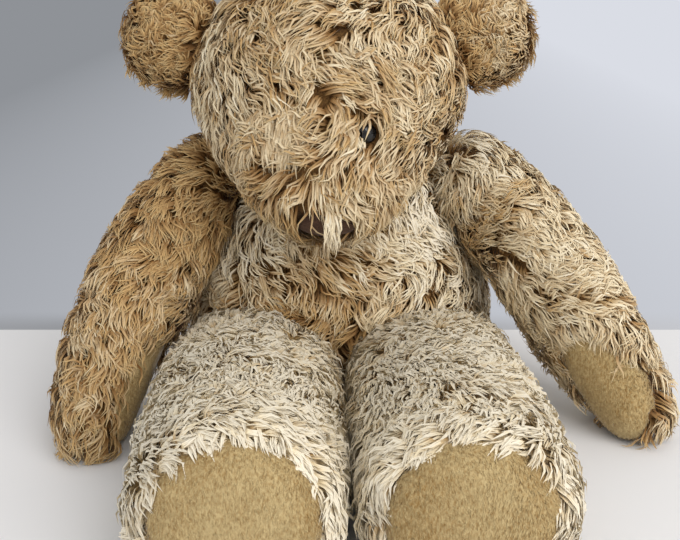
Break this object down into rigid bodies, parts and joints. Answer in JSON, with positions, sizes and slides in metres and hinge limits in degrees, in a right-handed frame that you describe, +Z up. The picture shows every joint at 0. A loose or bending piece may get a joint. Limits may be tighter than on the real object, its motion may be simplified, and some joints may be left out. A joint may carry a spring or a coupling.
{
  "type": "teddy bear",
  "caption": "Seated long-pile teddy bear slumped forward, head bowed over its chest, arms splayed and legs straight out, with short-pile soles and palms.",
  "frame": {"origin": "centre of the flat seat under the torso, on the surface that the bear sits on", "axes": "+Z up, -Y out of the bear's face, +X towards the bear's own left hand"},
  "size_m": [0.5364, 0.4915, 0.4],
  "materials": {
    "long_pile_plush": "long wavy pile, matted and worn",
    "short_pile_plush": "short upright pile",
    "nose_velour": "brushed velour",
    "black_plastic": "polished",
    "washer_nylon": "as moulded"
  },
  "bodies": {
    "root": {"torso": "long_pile_plush", "head": "long_pile_plush", "ear_left": "long_pile_plush", "ear_right": "long_pile_plush", "arm_left": "long_pile_plush", "arm_right": "long_pile_plush", "leg_left": "long_pile_plush", "leg_right": "long_pile_plush", "sole_left": "short_pile_plush", "sole_right": "short_pile_plush", "palm_left": "short_pile_plush", "palm_right": "short_pile_plush", "nose": "nose_velour", "eye_left": "black_plastic", "eye_right": "black_plastic", "eye_washer_left": "washer_nylon", "eye_washer_right": "washer_nylon"}
  },
  "joints": []
}
